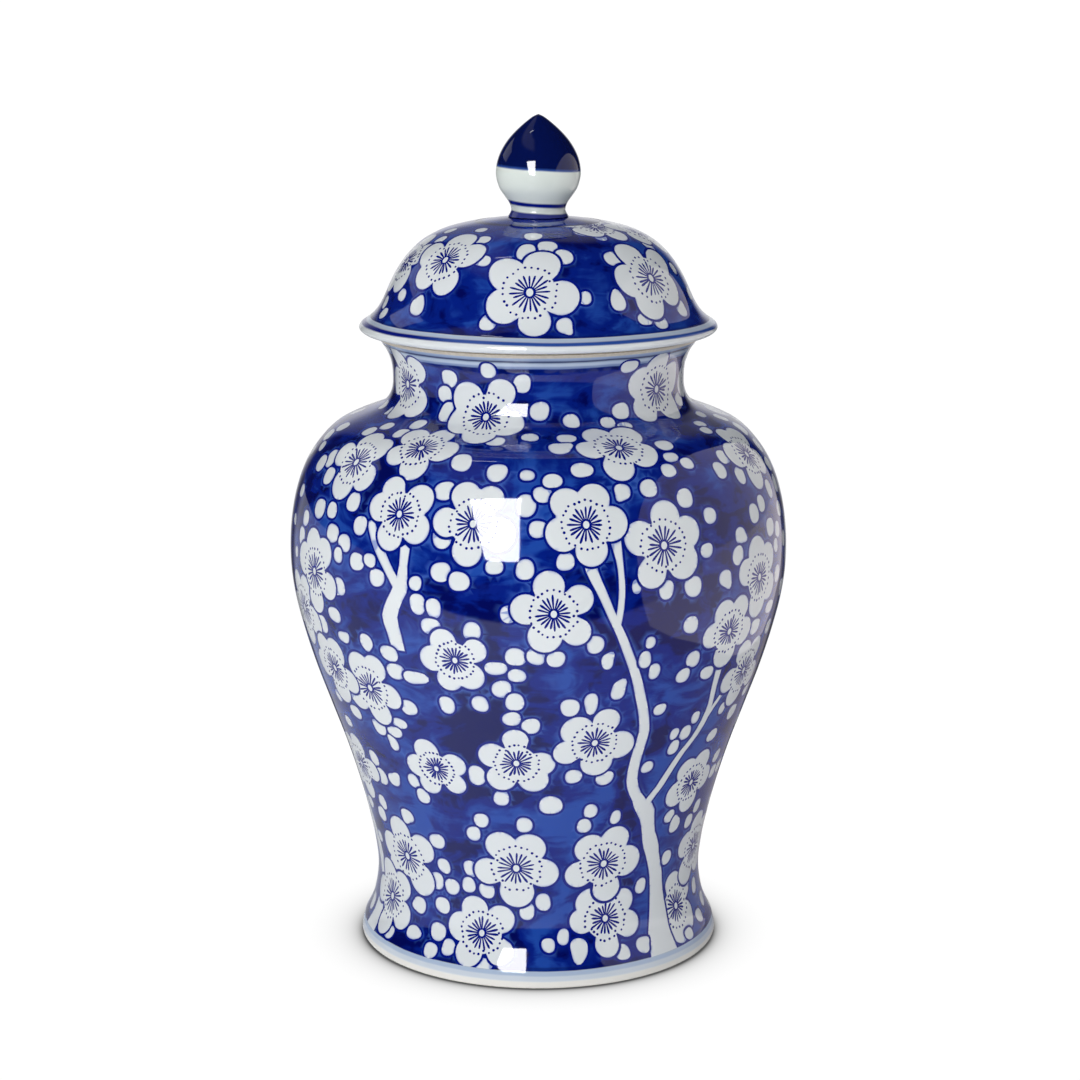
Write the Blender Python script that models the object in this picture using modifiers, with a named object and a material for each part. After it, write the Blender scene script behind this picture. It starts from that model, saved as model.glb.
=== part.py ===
"""A porcelain ginger jar with a lift-off lid.

The jar is one thrown vessel standing on a foot ring. The lid is a flared dome with two pieces joined to
it: a collar that drops into the jar's neck, and a bud-shaped knob. Lengths are in metres and +Z is up.
The origin is the centre of the foot ring's underside, and everything is turned about the Z axis.
"""

import math

import bpy

SEGMENTS = 64  # faces round every turned piece
POINTS_PER_SPAN = 2  # of a smooth outline, between one station and the next
MERGE_WITHIN = 0.00001  # closes the turned mesh at its seam and at the axis
ASSEMBLY_GAP = 0.0003  # between pieces that rest on each other or are joined with slip

# Driving dimensions of the jar
WALL = 0.005
RIM_HEIGHT = 0.2676
RIM_INNER_RADIUS = 0.0636
FOOT_RING_INNER_RADIUS = 0.0690
FOOT_RECESS_DEPTH = 0.0095
FLOOR_HEIGHT = 0.0170
FLOOR_RADIUS = 0.0540

# Driving dimensions of the lid. Its own frame starts at the flat seat under the brim.
LID_SEAT_HEIGHT = RIM_HEIGHT + ASSEMBLY_GAP
LID_WALL = 0.0045
LID_PLATFORM_HEIGHT = 0.0490
LID_MOUTH_RADIUS = 0.0502
BRIM_THICKNESS = 0.0036

FLANGE_OUTER_RADIUS = 0.0550
FLANGE_INNER_RADIUS = 0.0510
FLANGE_DEPTH = 0.0157
FLANGE_EDGE_RADIUS = 0.0012

KNOB_SEAT_HEIGHT = LID_PLATFORM_HEIGHT + ASSEMBLY_GAP
KNOB_HEIGHT = 0.0428

# The jar's outer side as (radius, height) stations, from the foot ring up to the flared mouth
JAR_SIDE = [
    (0.0786, 0.0032),
    (0.0774, 0.0076),
    (0.0740, 0.0146),
    (0.0711, 0.0310),
    (0.0750, 0.0575),
    (0.0844, 0.0900),
    (0.0974, 0.1260),
    (0.1056, 0.1560),
    (0.1074, 0.1755),
    (0.1051, 0.1975),
    (0.0989, 0.2146),
    (0.0879, 0.2277),
    (0.0760, 0.2333),
    (0.0665, 0.2376),
    (0.0630, 0.2430),
    (0.0623, 0.2495),
    (0.0632, 0.2570),
    (0.0662, 0.2632),
    (0.0697, 0.2673),
]
WAIST_STATION = 3
MOUTH_STATION = 16

# The lid's outer side from the seat, round the brim and up to the knob's platform
LID_SIDE = [
    (0.0702, 0.0000),
    (0.0750, 0.0009),
    (0.0766, 0.0026),
    (0.0758, 0.0043),
    (0.0730, 0.0061),
    (0.0698, 0.0089),
    (0.0664, 0.0141),
    (0.0631, 0.0214),
    (0.0587, 0.0293),
    (0.0516, 0.0374),
    (0.0415, 0.0434),
    (0.0260, 0.0472),
    (0.0126, LID_PLATFORM_HEIGHT),
]
BRIM_TOP_STATION = 6

# The knob's side from its seat, through its waist, round the bud and up to the point
KNOB_SIDE = [
    (0.0129, 0.0000),
    (0.0115, 0.0028),
    (0.0126, 0.0061),
    (0.0163, 0.0115),
    (0.0180, 0.0178),
    (0.0169, 0.0248),
    (0.0131, 0.0318),
    (0.0074, 0.0378),
    (0.0019, 0.0420),
    (0.0000, KNOB_HEIGHT),
]


def spline_point(before, start, end, after, share):
    """A point of a centripetal Catmull-Rom span, share of the way from start to end."""
    four = (before, start, end, after)
    knots = [0.0]
    for a, b in zip(four, four[1:]):
        knots.append(knots[-1] + math.sqrt(math.dist(a, b)))
    at = knots[1] + share * (knots[2] - knots[1])

    def between(a, b, first, last):
        weight = (at - first) / (last - first)
        return (a[0] + weight * (b[0] - a[0]), a[1] + weight * (b[1] - a[1]))

    lines = [between(four[i], four[i + 1], knots[i], knots[i + 1]) for i in range(3)]
    bends = [between(lines[i], lines[i + 1], knots[i], knots[i + 2]) for i in range(2)]
    return between(bends[0], bends[1], knots[1], knots[2])


def smooth_outline(stations, points_per_span=POINTS_PER_SPAN):
    """A smooth outline through the stations, with each end carried straight on."""

    def beyond(end, inner):
        return (2 * end[0] - inner[0], 2 * end[1] - inner[1])

    padded = [beyond(stations[0], stations[1]), *stations, beyond(stations[-1], stations[-2])]
    outline = []
    for four in zip(padded, padded[1:], padded[2:], padded[3:]):
        outline += [spline_point(*four, step / points_per_span) for step in range(points_per_span)]
    return outline + [stations[-1]]


def arc(centre, radius, start, end, steps):
    """Points of a circular arc between two angles in degrees, both ends included."""
    angles = [math.radians(start + (end - start) * step / steps) for step in range(steps + 1)]
    return [(centre[0] + radius * math.cos(a), centre[1] + radius * math.sin(a)) for a in angles]


def moved_in(stations, first, last, distance):
    """The stations first to last, each moved in by a distance, square to the outline there."""
    moved = []
    for i in range(first, last + 1):
        run = stations[i + 1][0] - stations[i - 1][0]
        rise = stations[i + 1][1] - stations[i - 1][1]
        length = math.hypot(run, rise)
        moved.append((stations[i][0] - distance * rise / length, stations[i][1] + distance * run / length))
    return moved


def glaze(name, colour, roughness):
    """A fired surface: glossy where it is glazed, matt where the body is bare."""
    material = bpy.data.materials.new(name)
    material.use_nodes = True
    shader = material.node_tree.nodes["Principled BSDF"]
    shader.inputs["Base Color"].default_value = (*colour, 1.0)
    shader.inputs["Roughness"].default_value = roughness
    shader.inputs["Metallic"].default_value = 0.0
    material.diffuse_color = (*colour, 1.0)
    return material


def turned(name, outline, material, collection, parent=None, height=0.0):
    """One piece turned about the Z axis from an outline that runs down its outer side."""
    mesh = bpy.data.meshes.new(name)
    edges = [(i, i + 1) for i in range(len(outline) - 1)]
    mesh.from_pydata([(radius, 0.0, z) for radius, z in outline], edges, [])
    mesh.materials.append(material)
    piece = bpy.data.objects.new(name, mesh)
    collection.objects.link(piece)
    piece.parent = parent
    piece.location.z = height
    screw = piece.modifiers.new("Turn", "SCREW")
    screw.axis = "Z"
    screw.angle = math.tau
    screw.steps = SEGMENTS
    screw.render_steps = SEGMENTS
    screw.use_merge_vertices = True
    screw.merge_threshold = MERGE_WITHIN
    screw.use_smooth_shade = True
    return piece


def jar_body(collection):
    """The vessel: from the middle of its floor, up the inside, over the rim and down to the foot."""
    rim_outer_radius = JAR_SIDE[-1][0] - 0.0005
    floor = [(0.0, FLOOR_HEIGHT), (FLOOR_RADIUS, FLOOR_HEIGHT + 0.0006)]
    heel = [(0.0618, 0.0212), (0.0655, 0.0262)]
    inside = moved_in(JAR_SIDE, WAIST_STATION, MOUTH_STATION, WALL)
    mouth = [(0.0606, 0.2645), (RIM_INNER_RADIUS - 0.0008, RIM_HEIGHT - 0.0008)]
    rim = [(RIM_INNER_RADIUS, RIM_HEIGHT), (rim_outer_radius, RIM_HEIGHT)]
    side = smooth_outline(JAR_SIDE)[::-1]
    foot_outer_edge = arc((0.0766, 0.0020), 0.0020, -22.5, -90.0, 3)
    foot_inner_edge = [(FOOT_RING_INNER_RADIUS, 0.0), (FOOT_RING_INNER_RADIUS - 0.0007, 0.0009)]
    recess = [(FOOT_RING_INNER_RADIUS - 0.0022, FOOT_RECESS_DEPTH - 0.0015)]
    recess += [(FOOT_RING_INNER_RADIUS - 0.0042, FOOT_RECESS_DEPTH), (0.0, FOOT_RECESS_DEPTH)]
    outline = floor + heel + inside + mouth + rim + side + foot_outer_edge + foot_inner_edge + recess
    return turned("jar_body", outline, glaze("jar_glaze", (0.020, 0.045, 0.270), 0.08), collection)


def lid_dome(collection, lid):
    """The lid: down its outer side from the knob's platform, round the brim, and up its hollow inside."""
    side = smooth_outline(LID_SIDE)[::-1]
    seat = [(LID_MOUTH_RADIUS, 0.0)]
    mouth = [(LID_MOUTH_RADIUS, BRIM_THICKNESS - 0.0010), (LID_MOUTH_RADIUS + 0.0010, BRIM_THICKNESS)]
    gallery = [(0.0575, 0.0046), (0.0612, 0.0078)]
    inside = moved_in(LID_SIDE, BRIM_TOP_STATION, len(LID_SIDE) - 2, LID_WALL)
    top = [(0.0, LID_PLATFORM_HEIGHT)]
    crown = [(0.0, LID_PLATFORM_HEIGHT - LID_WALL)]
    outline = top + side + seat + mouth + gallery + inside + crown
    material = glaze("lid_glaze", (0.020, 0.045, 0.270), 0.08)
    return turned("lid_dome", outline, material, collection, lid)


def lid_flange(collection, lid):
    """The collar under the lid, with a rounded lower edge and a flat top just under the lid's seat."""
    edge = FLANGE_EDGE_RADIUS
    foot = edge - FLANGE_DEPTH
    outer_edge = arc((FLANGE_OUTER_RADIUS - edge, foot), edge, 0.0, -90.0, 3)
    inner_edge = arc((FLANGE_INNER_RADIUS + edge, foot), edge, -90.0, -180.0, 3)
    inner_top = (FLANGE_INNER_RADIUS, -ASSEMBLY_GAP)
    outer_top = (FLANGE_OUTER_RADIUS, -ASSEMBLY_GAP)
    outline = [inner_top, outer_top] + outer_edge + inner_edge + [inner_top]
    material = glaze("bare_porcelain", (0.700, 0.650, 0.560), 0.60)
    return turned("lid_flange", outline, material, collection, lid)


def lid_knob(collection, lid):
    """The solid bud on top of the lid, with a flat seat."""
    outline = smooth_outline(KNOB_SIDE)[::-1] + [(0.0, 0.0)]
    material = glaze("knob_glaze", (0.010, 0.020, 0.150), 0.08)
    return turned("lid_knob", outline, material, collection, lid, KNOB_SEAT_HEIGHT)


def main():
    for leftover in list(bpy.data.objects):
        bpy.data.objects.remove(leftover)
    ginger_jar = bpy.data.collections.new("ginger_jar")
    bpy.context.scene.collection.children.link(ginger_jar)
    lid = bpy.data.objects.new("lid_lift_axis", None)
    lid.location.z = LID_SEAT_HEIGHT
    ginger_jar.objects.link(lid)
    jar_body(ginger_jar)
    lid_dome(ginger_jar, lid)
    lid_flange(ginger_jar, lid)
    lid_knob(ginger_jar, lid)


main()
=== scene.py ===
"""The looks of a porcelain ginger jar: blossom in cobalt and white under a clear glaze, in a bright studio.

Every turned piece is made again from its CAD outline, more finely. The painting is laid out on the
unrolled side of the jar and of the lid: a place on it is an azimuth in degrees, 0 at the front and
growing to the right, and a height in millimetres measured up along the side. Each paint is cut out of
the side as thin inlays that stand a hair above it. Lengths are in metres unless a comment says otherwise.
"""

import math
import random

import bpy
import numpy as np
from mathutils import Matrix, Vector
from mathutils.geometry import delaunay_2d_cdt

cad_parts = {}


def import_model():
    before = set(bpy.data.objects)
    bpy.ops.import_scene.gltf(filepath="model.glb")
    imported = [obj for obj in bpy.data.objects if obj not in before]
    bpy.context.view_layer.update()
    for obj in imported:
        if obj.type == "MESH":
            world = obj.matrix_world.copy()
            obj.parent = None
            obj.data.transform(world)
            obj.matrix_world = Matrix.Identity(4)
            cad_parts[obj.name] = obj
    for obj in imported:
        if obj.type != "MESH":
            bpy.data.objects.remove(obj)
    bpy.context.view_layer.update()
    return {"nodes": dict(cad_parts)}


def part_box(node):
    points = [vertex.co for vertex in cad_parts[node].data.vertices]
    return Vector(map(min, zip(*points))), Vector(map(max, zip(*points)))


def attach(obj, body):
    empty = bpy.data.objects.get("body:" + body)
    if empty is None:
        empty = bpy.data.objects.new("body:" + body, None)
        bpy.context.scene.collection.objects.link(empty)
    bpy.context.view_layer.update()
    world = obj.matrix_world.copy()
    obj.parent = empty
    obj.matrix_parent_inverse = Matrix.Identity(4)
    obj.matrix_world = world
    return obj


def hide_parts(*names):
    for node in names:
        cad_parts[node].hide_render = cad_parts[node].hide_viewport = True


MM = 0.001

# How finely the turned pieces are made
SEGMENTS = 256
ROW_SPACING = 2.6 * MM
ROW_BEND = math.radians(5.0)
CORNER = math.radians(60.0)
SHARP = math.radians(25.0)
LONG_STRAIGHT = 4.0  # times as long as the step beside it on the outline
ON_AXIS = 1e-6

# How the painting stands on the side
INLAY_TOP = 0.08 * MM
INLAY_DEPTH = 0.40 * MM
INLAY_GRID = 2.6  # millimetres between the points that let a wide inlay follow the side
PAINT_RADIUS = 88.0  # millimetres: the cylinder on which the unrolled side is cut up
LINE_WIDTH = 1.05  # millimetres
LIMB_SPACING = 4.0  # millimetres between the points of a tree's limb
SPINE = (0.02, 0.0)  # degrees to each side of a limb's middle
BUD_SQUARENESS = 2.3  # 2 would be an ellipse
PETAL_POINTS = 100
STAMENS = 20
ANTHERS = 26

# The blossoms and buds scattered over the back: their reach, and how far they stay from others' edges
BLOSSOM_TRIES = 1400
BLOSSOM_REACH = 16.5
BLOSSOM_TO_TRUNK = 6.0
BUD_TRIES = 2600
BUD_REACH = 4.0
BUD_TO_BLOSSOM = (3.2, 11.0)
BUD_TO_BUD = 5.0
BUD_TO_TRUNK = 4.6

# The jar's side is measured up from the top of the rounded edge of its foot
JAR_FOOT_EDGE = 3.2 * MM

# Where the jar's glaze ends: up its side at the lip, across its rim, and round its foot ring
JAR_LIP = 291.4  # millimetres up the side
JAR_RIM_BARE = 0.3 * MM
JAR_FOOT_BARE = 1.2 * MM
JAR_FOOT_RADIUS = 76.9 * MM
LID_SEAT_BARE = 0.5 * MM
ON_SIDE = 0.4 * MM  # how near the side's outline a face that belongs to it lies

# The painted part of each side, in millimetres up it
JAR_PAINT = (4.6, 289.0)
LID_PAINT = (13.3, 78.0)

# Where blossoms are scattered: between these azimuths and heights, and this far from a blossom's edge
JAR_SCATTER = ((85.0, 264.0), JAR_PAINT, 16.0)
LID_SCATTER = ((92.0, 268.0), (LID_PAINT[0] + 4, 62.0), 19.0)

# Blossoms on the jar: azimuth, up, reach in millimetres, and roughly the way that each of its petals points,
# clockwise from up
JAR_BLOSSOMS = [
    (-69.5, 158.5, 17, (30, 110, 190, 260, 330)),
    (-66.5, 85, 16, (20, 90, 180, 240, 310)),
    (-60, 178, 17, (40, 110, 180, 290, 350)),
    (-45, 131, 17, (30, 100, 170, 240, 340)),
    (-59, 135, 16, (30, 110, 180, 270, 330)),
    (-50, 46.5, 18, (60, 140, 230, 280, 350)),
    (-62.3, 23.5, 17, (50, 120, 190, 270, 340)),
    (-52.5, 227.5, 17, (40, 120, 190, 280, 350)),
    (-34, 240, 16, (20, 90, 170, 240, 310)),
    (-32.8, 209.3, 16, (50, 120, 200, 280, 330)),
    (-14.5, 208, 17, (30, 110, 190, 270, 340)),
    (-61.2, 273.3, 17, (50, 130, 190, 270, 340)),
    (-19.5, 264, 17, (30, 110, 180, 250, 310)),
    (52, 272.5, 17, (70, 140, 230, 290, 350)),
    (67.3, 227, 16, (40, 120, 200, 280, 350)),
    (23.2, 242.5, 17, (40, 120, 200, 270, 330)),
    (28.4, 197.5, 18, (10, 70, 130, 210, 290)),
    (10.6, 208, 17, (20, 90, 170, 250, 320)),
    (58.8, 176, 17, (50, 120, 180, 290, 350)),
    (3.3, 172.5, 17, (60, 130, 200, 280, 350)),
    (60.8, 133, 16.5, (30, 110, 190, 260, 330)),
    (48.5, 156, 16, (30, 100, 180, 270, 330)),
    (-18.8, 151, 14.5, (60, 140, 200, 270, 330)),
    (-5.8, 102.5, 16, (0, 90, 140, 220, 290)),
    (14.5, 112, 16.5, (20, 100, 170, 250, 310)),
    (-29.2, 96, 14, (70, 130, 210, 270, 340)),
    (52.3, 81.5, 15, (20, 90, 170, 250, 320)),
    (23.3, 25, 16, (50, 110, 180, 270, 320)),
    (21.8, 50.5, 17.5, (20, 90, 170, 250, 320)),
    (-7.2, 50, 18, (30, 100, 180, 260, 330)),
    (68, 44.5, 17, (60, 130, 210, 290, 350)),
    (-19.3, 19.3, 16, (50, 130, 210, 280, 340)),
]
# One more, painted before the trees, whose trunk covers part of it
BEHIND_TREES = [(55.8, 21.5, 16, (50, 130, 190, 270, 350))]

# Buds on the jar: azimuth, up, width in degrees, height in millimetres, and for some the way the tip points
JAR_BUDS = [
    # neck and shoulder
    (-35.5, 279, 6.7, 8), (-18.5, 284, 6, 7), (-6, 278.5, 6.5, 8), (0.5, 267, 7, 8), (-38, 272, 6.5, 7),
    (-35.5, 264.5, 8, 8.5, 90), (-2.6, 252.6, 5.5, 6), (-13, 248.8, 6, 6.5), (-20, 234.2, 5.5, 9),
    (-22.4, 220.7, 5, 8), (-10.2, 230, 5, 8.5), (-2.7, 229, 3.5, 5), (-2.7, 216, 4.5, 9),
    (1, 220.6, 4.5, 6.5), (3.4, 226.5, 5, 6), (0, 206.5, 4, 7), (12, 262.4, 6, 6.5), (8.8, 251.5, 6, 6.5),
    (6, 244, 6.5, 7.5, 60), (10.9, 231.2, 6, 6.5), (25.5, 260.7, 5.5, 6), (32.3, 265.5, 7.5, 7),
    (31.4, 258, 5.5, 5), (35.3, 284.5, 7.5, 6), (37.7, 241.2, 5.5, 7), (36.7, 234, 4.5, 5),
    (34, 228, 4.5, 6), (40.7, 230, 4, 5.5), (20, 220.7, 4, 6.5, 215), (26.8, 221.2, 4.5, 7.5),
    (35.9, 215.3, 4.5, 8), (42.1, 206.7, 4, 6.5), (50.7, 224.2, 4.5, 7.5), (55, 229.5, 4.5, 7),
    (57.8, 219.8, 4, 8), (63.5, 250, 5.5, 5), (60.5, 245, 5, 5.5), (69, 265.5, 7, 6), (74.5, 254.5, 6, 5),
    (70.6, 209.8, 4, 8), (63.1, 205.8, 4, 7), (58.5, 203, 4.5, 8), (-69, 259.3, 4, 5),
    (-56.8, 250.6, 5.5, 6), (-60.4, 244.3, 5, 7), (-45.2, 256, 5.8, 7.5), (-46.8, 248, 5, 7.5),
    (-64.8, 225.8, 5, 8.5), (-69, 222, 5, 8), (-61, 218.6, 4.5, 8), (-47.4, 211, 4.5, 8),
    (-54.6, 205.5, 3.8, 7), (-60.2, 204.5, 4.8, 8.5), (-78, 240, 6, 7), (-80.9, 233, 6, 7),
    (-77.2, 228, 4.5, 5), (-74.8, 207.4, 4, 5.5), (-81, 260, 6, 6),
    # belly
    (-21.4, 201.5, 4.5, 8), (-37.4, 182.4, 4, 7.5), (-27.3, 182.4, 3, 6), (-26.8, 174, 3.8, 8.5),
    (-23, 173, 3.5, 8), (-21.3, 188, 4.5, 8), (-17.1, 184.8, 4.5, 8), (-9.4, 191.4, 4, 6),
    (-2.8, 190.5, 4, 8), (5.8, 193.6, 4, 7), (-6.3, 172.4, 3.5, 7.5), (-23.9, 165.2, 4.5, 7),
    (-14.4, 164.5, 4, 7.5), (-9.5, 148.5, 5, 6), (-8.4, 139, 4.5, 8), (-4.8, 145.5, 4, 6),
    (-22.2, 129.5, 4, 8), (-13.8, 131.4, 4, 7.5), (-5.5, 133, 4.5, 8), (-6.4, 124.8, 4.5, 6.5),
    (-1.8, 121.4, 4.5, 7.5), (-5, 154, 4.5, 8), (-0.5, 154.3, 4, 7.5), (3.9, 153, 4, 7),
    (-35.8, 150.2, 5, 7), (-34.9, 142.2, 5, 7.5), (-30, 140.7, 5.5, 6, 90), (-33.3, 125.4, 5, 7),
    (-37.8, 116.2, 5, 5), (12.5, 158.9, 4, 7.5), (25.4, 157.8, 2.5, 5), (24.5, 150.2, 3, 8),
    (27.4, 144.3, 3, 7), (15.5, 151, 2.8, 7, 30), (18.8, 137, 3.5, 8.5, 30), (31, 125.2, 3.5, 5.5),
    (7.5, 130.2, 4.7, 8), (12.5, 132.4, 3.3, 8.5, 180), (21.4, 182, 2, 6), (28.6, 179.5, 3.5, 8),
    (35.6, 179.3, 4.7, 8.5), (39.8, 193, 3.5, 6), (45.3, 180, 4, 7, 150), (35.6, 163, 4, 7.5),
    (37.9, 147, 4, 7.5), (35.8, 140, 4, 6.5), (43.6, 138.8, 4.5, 6), (51.4, 196, 4, 6.5, 120),
    (49.9, 188, 4, 8), (65.9, 194.8, 4.5, 8), (70.8, 192, 4, 7), (68.6, 186, 3, 6), (69.9, 173.3, 4, 8),
    (67, 160, 5, 6), (60, 153.8, 5, 7), (70.3, 149.5, 4, 7), (55.4, 117, 3, 6), (63.3, 112, 5, 7.5),
    (68.5, 121, 4, 7), (75, 199.5, 4, 7), (-66.9, 198.2, 3.8, 6.5), (-68.2, 190.2, 4, 7.5),
    (-52.8, 196.4, 4.5, 8), (-48.1, 193.8, 4.2, 7.2), (-50, 188.2, 3, 6.5), (-43.5, 187.4, 4.3, 7.5),
    (-43.6, 202.2, 4, 8), (-39.6, 189, 3.5, 5.5), (-49.5, 175.2, 4, 7.5, 225), (-52.5, 162, 4.8, 6.5),
    (-50.5, 152.7, 4, 5, 60), (-42.4, 153.6, 3.8, 7, 180), (-59.4, 155.5, 5.5, 8), (-62.5, 148, 5, 9),
    (-55.5, 115.2, 5, 6.5), (-63.2, 120, 3.5, 6), (-63.4, 107.2, 4, 5.5), (-40.5, 111, 5, 5.5),
    (-46, 111, 4.5, 7, 315), (-42.2, 104.5, 3.4, 6.5, 330), (-76.3, 194.5, 3, 5), (-72, 182, 2.5, 5),
    # waist and foot
    (37.9, 111, 2.8, 6), (41.9, 110.2, 4, 7), (39, 103.8, 3.8, 7), (44.1, 117, 3, 6), (55.3, 103.8, 5, 6),
    (-17, 95.2, 5, 9.5), (-10.6, 84.5, 4.5, 7.5), (3.6, 81.4, 6.5, 9), (9.6, 95.5, 4.5, 7),
    (18.6, 93.6, 5, 7), (31.4, 96.2, 4, 5.5), (15.6, 77.4, 4, 7), (14, 70.2, 4.3, 7),
    (23.9, 72.9, 3.5, 6.5), (-17.4, 72.5, 4.5, 7), (-20.4, 65.5, 4.5, 7), (-4.2, 71.4, 5, 7),
    (-34.3, 58.6, 6, 7), (-22.8, 48, 5, 7.5), (-33, 47, 5, 7), (-36.9, 39, 6, 8), (-30.5, 37.8, 5.5, 7.5),
    (-24, 40, 5, 7), (-17.5, 38.5, 5.5, 7), (-34.8, 28.3, 6, 7), (-35.8, 16.5, 6.5, 7.5),
    (-30.8, 11, 5, 7), (-37.3, 8, 5.5, 6.5), (-17.6, 6.5, 6, 5), (-3.8, 30, 5, 7.5), (1.6, 34.3, 5, 8),
    (3.3, 15.5, 4.5, 6), (8.3, 18.8, 4, 7), (13.5, 13.3, 6, 9, 190), (28.4, 9.5, 5.2, 7),
    (36.5, 10.5, 5, 7, 60), (37.3, 36.5, 4.5, 7), (64.8, 89.5, 4.5, 6.5), (66.3, 81.4, 5, 7),
    (71.8, 82, 5, 7), (61.5, 66.4, 4.5, 6.5), (57.8, 60.5, 5, 6.5), (45.5, 67.3, 4.5, 6),
    (49.3, 61.8, 5, 7.5, 350), (48.5, 46.4, 5, 6.5), (72.5, 24.3, 5, 7), (71, 11, 6, 6),
    (59.3, 7.5, 5, 5), (80.8, 14.8, 6, 7), (-54.6, 92.6, 4.5, 7.5), (-53.3, 84, 5.3, 8),
    (-47.2, 84.8, 5, 6.5, 45), (-38.6, 87.1, 4, 7), (-36.2, 80.3, 4.5, 7.5), (-58.3, 69.4, 4.8, 7),
    (-61.3, 62.7, 5.5, 7), (-45.5, 67.6, 5.5, 6.5, 200), (-45.2, 25.5, 6, 7, 255), (-46.8, 13, 6, 6, 90),
    (-58.8, 8.6, 5.5, 6), (-69.5, 48.6, 4, 5.5), (-70.5, 64.8, 5, 6), (-82, 13, 6, 8),
]

# Limbs of the trees on the jar: azimuth, up and width in degrees, from the root of the limb to its tip
JAR_TREES = [
    [
        [(44.2, 0, 13), (44.5, 5, 12), (44.8, 14, 10.2), (45.5, 23, 8.2), (45.1, 32, 6.4),
         (43.8, 41, 6), (41.1, 50, 5.8), (39.3, 56, 6.6), (37.4, 62, 5.2), (35.8, 69, 5.5),
         (33.4, 76, 7), (31, 80, 4.5), (28.6, 85, 3.8), (27.2, 91, 3.5), (27, 98, 3.3),
         (27.4, 108, 3.2), (27.8, 114, 3), (26.9, 122, 2.8), (25, 132, 2.7), (22.6, 144, 2.4),
         (20.2, 154, 2.3), (17.8, 164, 2.1), (16.4, 169, 2), (13.8, 180, 2.2), (11.6, 189, 2.6),
         (10.6, 197, 2.6)],
        [(33.5, 74, 3), (35, 79.5, 3), (37, 83, 2.9), (39.5, 90, 2.7), (43, 100, 2.6), (46.3, 107, 2.5),
         (48.2, 114, 2.5), (48.6, 121, 2), (48, 130, 2), (47.8, 142, 2.4)],
        [(17.2, 166, 1.6), (17.9, 174, 1.5), (18.1, 182, 1.4), (17.8, 191, 1.4), (17, 201, 2.4)],
        [(47.8, 112, 1.8), (49.6, 118, 1.8), (52.6, 125, 2), (56, 131, 2)],
    ],
    [
        [(-32.9, 152.5, 3.4), (-33.5, 160, 3.8), (-34.2, 167, 4.1), (-33, 173, 4), (-31, 180, 3.8),
         (-30.5, 187, 2.2), (-30.2, 196, 2.4)],
        [(-31.4, 179, 2.8), (-33.3, 184, 2.7), (-35.6, 190, 2.9), (-38.2, 197.5, 3), (-40.2, 204, 2.4)],
    ],
    [
        [(-73.5, 0, 10.5), (-73, 6, 9), (-72.4, 14, 7.4), (-72.1, 25, 6.6), (-72.6, 35, 6),
         (-74, 46, 5.6), (-76.4, 58, 5.4), (-79, 68, 5.6), (-81.4, 80, 4), (-82.6, 92, 3.2),
         (-82, 106, 3), (-80.4, 120, 2.6), (-80.6, 134, 2.2)],
        [(-79.6, 66, 3.2), (-76.8, 76, 2.8), (-75.2, 88, 2.2)],
    ],
    [
        [(164, 0, 13), (164.4, 12, 10), (165, 26, 7.6), (163.6, 41, 6), (159.6, 55, 6.2),
         (155.6, 70, 5.8), (151, 80, 4.6), (148, 92, 3.6), (147.6, 108, 3.2), (145, 130, 2.7),
         (140.4, 152, 2.4), (137, 168, 2), (133, 184, 2.4)],
        [(153.8, 73, 3), (157, 83, 2.9), (162.4, 98, 2.6), (167.6, 112, 2.5), (168.4, 126, 2.2),
         (168, 142, 2.4)],
        [(137.6, 165, 1.6), (138.2, 180, 1.4), (137, 200, 2.2)],
    ],
    [
        [(-122, 150, 2.6), (-122.4, 160, 3.4), (-121.4, 171, 3), (-119.4, 181, 3), (-119, 196, 1.8)],
        [(-119.6, 179, 2.6), (-124.8, 190, 2), (-129, 200, 2.4)],
    ],
]

# The same on the lid
LID_BLOSSOMS = [
    (-75.4, 43, 16, (60, 140, 210, 280, 350)),
    (-44.6, 47, 17, (0, 70, 150, 220, 280)),
    (-3.2, 33.9, 19.3, (20, 100, 170, 240, 310)),
    (50.6, 37.5, 18.5, (60, 120, 210, 270, 340)),
    (50, 74, 15, (20, 90, 170, 240, 310)),
    (82, 62, 15, (30, 100, 170, 250, 320)),
]
LID_BUDS = [
    (-62.3, 56.8, 7, 8, 180), (-62.1, 28.7, 6, 5.5), (-71, 18.9, 6, 5.5), (-76, 23.5, 5, 6),
    (-49.5, 25, 7.5, 7.5, 10), (-43.9, 70.4, 9, 5.5), (-31.8, 61, 9, 6, 230), (-25, 48, 8, 5.5, 270),
    (-70.7, 65.2, 8, 6), (-78, 58, 7, 6), (-5.7, 53.5, 9, 10, 170), (-3.2, 65.6, 11.5, 7),
    (-17.5, 20.6, 6, 7, 20), (4.6, 56.8, 9.5, 8.5, 190), (11.6, 50.7, 8, 8.5), (17.5, 31.2, 5, 5.5, 270),
    (8.9, 19.6, 5.5, 7, 150), (34.8, 48.5, 8.5, 7.5), (30.5, 28.8, 6, 8, 0), (40, 20.4, 6, 5.5),
    (46.8, 18.2, 6.5, 6.5), (63.2, 22.4, 7, 7.5), (29.5, 68.5, 10, 7.5), (38.2, 63.5, 8, 7.5),
    (66.4, 52.2, 7, 7.5), (73.6, 39.6, 5, 5.5), (80, 27, 6, 6),
]


def unit(points):
    """Each row of points as a direction."""
    return points / np.maximum(np.linalg.norm(points, axis=-1, keepdims=True), 1e-12)


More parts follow.
